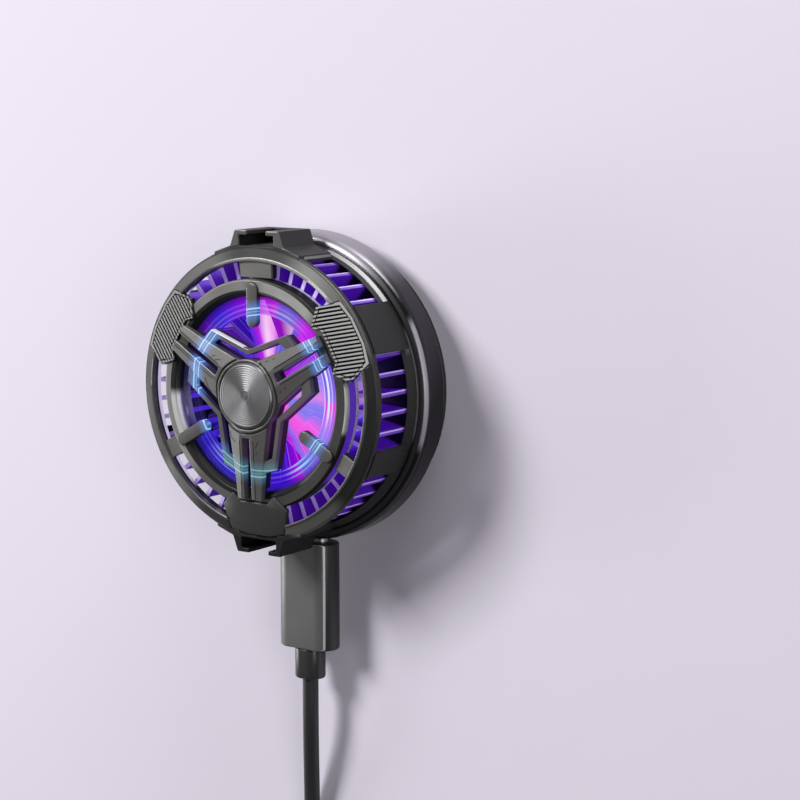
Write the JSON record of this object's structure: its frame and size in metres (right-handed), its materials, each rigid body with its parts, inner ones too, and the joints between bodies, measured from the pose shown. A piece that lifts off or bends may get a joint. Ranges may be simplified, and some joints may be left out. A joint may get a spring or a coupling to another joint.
{
  "type": "phone cooling fan",
  "caption": "Round magnetic phone cooler: a lit fan inside a ring of radial fins behind a spoked front grille, with its plugged-in USB lead lying coiled beside it.",
  "frame": {"origin": "centre of the face that sits on the phone, at the bottom of the cooler as it lies on that face", "axes": "+Z is the fan's axis, from the phone face to the badge; -Y is the way the USB-C plug and its lead leave; +X is to the right as the badge is seen with the plug pointing down"},
  "size_m": [0.0826, 0.1762, 0.0259],
  "materials": {
    "silicone_black": "matt silicone",
    "cold_alu": "fine ground",
    "magnet_plate": "nickel plated",
    "steel": "plain",
    "housing_black": "gloss",
    "module_white": "ceramic plates",
    "foam_grey": "foam",
    "fin_purple": "purple anodised",
    "board_green": "solder mask",
    "plug_steel": "bright",
    "insert_black": "moulded",
    "motor_black": "moulded",
    "copper": "enamelled wire",
    "bronze": "sintered",
    "fan_pale": "milky, lit from the ring",
    "ferrite": "bonded magnet",
    "frame_grey": "satin gunmetal",
    "board_white": "white solder mask",
    "led_lens": "lens",
    "light_clear": "clear acrylic",
    "spider_grey": "satin gunmetal",
    "badge_metal": "turned",
    "grip_grey": "ribbed",
    "pad_dark": "plain",
    "plug_grey": "satin",
    "relief_black": "soft",
    "cord_black": "smooth jacket",
    "insert_white": "moulded"
  },
  "bodies": {
    "housing": {"contact_pad": "silicone_black", "cold_plate": "cold_alu", "magnets": "magnet_plate", "yoke_ring": "steel", "base_shell": "housing_black", "peltier_module": "module_white", "insulation_frame": "foam_grey", "heat_sink": "fin_purple", "sink_screws": "steel", "control_board": "board_green", "usb_c_receptacle": "plug_steel", "usb_c_tongue": "insert_black", "fan_base": "motor_black", "motor_board": "board_green", "stator_core": "steel", "stator_coils": "copper", "bearing_sleeve": "bronze", "front_frame": "frame_grey", "inner_ring": "frame_grey", "led_board": "board_white", "leds": "led_lens", "light_ring": "light_clear", "pegs": "frame_grey", "spider": "spider_grey", "badge": "badge_metal", "grip_pads": "grip_grey", "lower_pad": "pad_dark"},
    "rotor": {"shaft": "steel", "shaft_clip": "steel", "impeller": "fan_pale", "rotor_yoke": "steel", "rotor_magnet": "ferrite"},
    "lead": {"usb_c_plug_shell": "plug_steel", "usb_c_overmould": "plug_grey", "strain_relief": "relief_black", "cord_lead": "cord_black", "cord_coil": "cord_black", "cord_tail": "cord_black", "usb_a_relief": "relief_black", "usb_a_overmould": "plug_grey", "usb_a_shell": "plug_steel", "usb_a_tongue": "insert_white"}
  },
  "joints": [
    {"name": "fan_spin", "type": "hinge", "parent": "housing", "child": "rotor", "pos_m": [0, 0, 0.014], "axis": [0, 0, 1], "continuous": true},
    {"name": "plug_pull", "type": "slide", "parent": "housing", "child": "lead", "axis": [0, -1, 0], "range_m": [0, 0.0075]}
  ]
}
